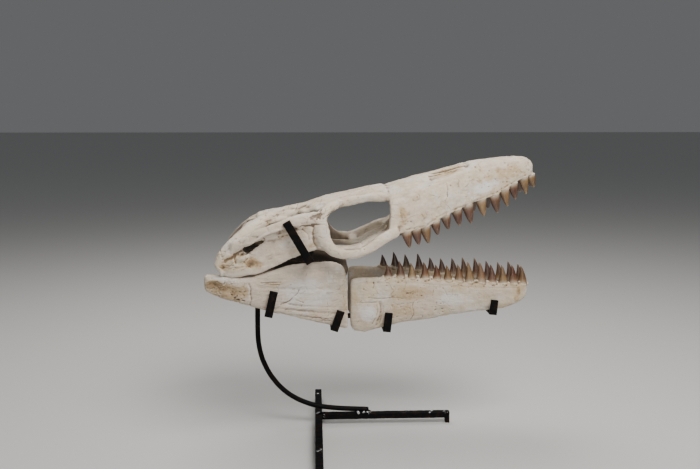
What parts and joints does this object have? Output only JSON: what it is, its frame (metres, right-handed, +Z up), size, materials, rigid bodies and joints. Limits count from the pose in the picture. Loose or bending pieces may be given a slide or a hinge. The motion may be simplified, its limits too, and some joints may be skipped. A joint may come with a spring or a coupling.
{
  "type": "mosasaur skull fossil on a stand",
  "caption": "Pale fossil skull of a mosasaur with gaping toothed jaws, held by iron straps on a bent rod and a low T-shaped foot.",
  "frame": {"origin": "on the floor, below the centre of the whole model's bounding box", "axes": "+X from the jaw joints to the snout, +Y to the animal's left, +Z up; the skull's own midplane is at y = +0.063 m because the stand's crossbar reaches further to the right"},
  "size_m": [0.6401, 0.426, 0.5434],
  "materials": {
    "fossil_bone": "matte, prepared fossil bone",
    "tooth_enamel": "satin fossil enamel, on the tooth crowns",
    "black_iron": "satin black paint on hand-worked bar"
  },
  "bodies": {
    "root": {"premaxilla": "fossil_bone", "maxilla_right": "fossil_bone", "maxilla_left": "fossil_bone", "frontal": "fossil_bone", "braincase": "fossil_bone", "jugal_right": "fossil_bone", "jugal_left": "fossil_bone", "temporal_arch_right": "fossil_bone", "temporal_arch_left": "fossil_bone", "suspensorium_right": "fossil_bone", "suspensorium_left": "fossil_bone", "pterygoid_right": "fossil_bone", "pterygoid_left": "fossil_bone", "dentary_right": "fossil_bone", "dentary_left": "fossil_bone", "rear_jaw_right": "fossil_bone", "rear_jaw_left": "fossil_bone", "stand_crossbar": "black_iron", "stand_leg": "black_iron", "stand_foot_right": "black_iron", "stand_foot_left": "black_iron", "stand_foot_front": "black_iron", "stand_rod": "black_iron", "stand_spine": "black_iron", "stand_post": "black_iron", "cradle_hind_run": "black_iron", "cradle_hind_right": "black_iron", "cradle_hind_left": "black_iron", "cradle_mid_rear_run": "black_iron", "cradle_mid_rear_right": "black_iron", "cradle_mid_rear_left": "black_iron", "cradle_mid_front_run": "black_iron", "cradle_mid_front_right": "black_iron", "cradle_mid_front_left": "black_iron", "cradle_fore_run": "black_iron", "cradle_fore_right": "black_iron", "cradle_fore_left": "black_iron", "head_strap_run": "black_iron", "head_strap_right": "black_iron", "head_strap_left": "black_iron"}
  },
  "joints": []
}
